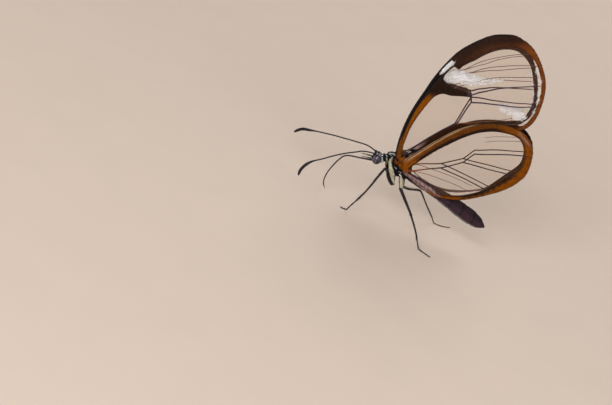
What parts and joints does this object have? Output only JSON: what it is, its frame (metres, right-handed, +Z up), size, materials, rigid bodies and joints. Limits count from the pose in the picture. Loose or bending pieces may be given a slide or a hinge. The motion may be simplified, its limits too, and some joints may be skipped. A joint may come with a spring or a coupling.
{
  "type": "glasswing butterfly",
  "caption": "Life-size glasswing butterfly standing with its clear, dark-edged wings closed over its back, feelers and proboscis held forward and down.",
  "frame": {"origin": "on the floor under the middle of the box around the whole animal", "axes": "+Z up, head towards -X, the animal's left side towards -Y, middle plane parallel to XZ"},
  "size_m": [0.0352, 0.0138, 0.0367],
  "materials": {
    "body_black": "matt black scales with cream and white stripes and spots",
    "abdomen_brown": "matt brown scales, paler below",
    "eye": "glossy, finely faceted",
    "feeler": "satin black",
    "leg_black": "satin black with cream stripes on the coxae",
    "wing_clear": "clear membrane with orange-brown and black scaled margins"
  },
  "bodies": {
    "root": {"thorax": "body_black", "abdomen": "abdomen_brown", "head": "body_black", "eye_left": "eye", "eye_right": "eye", "palp_left": "feeler", "palp_right": "feeler", "proboscis": "feeler", "antenna_left": "feeler", "antenna_right": "feeler", "foreleg_left": "leg_black", "foreleg_right": "leg_black", "midleg_left": "leg_black", "midleg_right": "leg_black", "hindleg_left": "leg_black", "hindleg_right": "leg_black", "forewing_left": "wing_clear", "forewing_right": "wing_clear", "hindwing_left": "wing_clear", "hindwing_right": "wing_clear"}
  },
  "joints": []
}
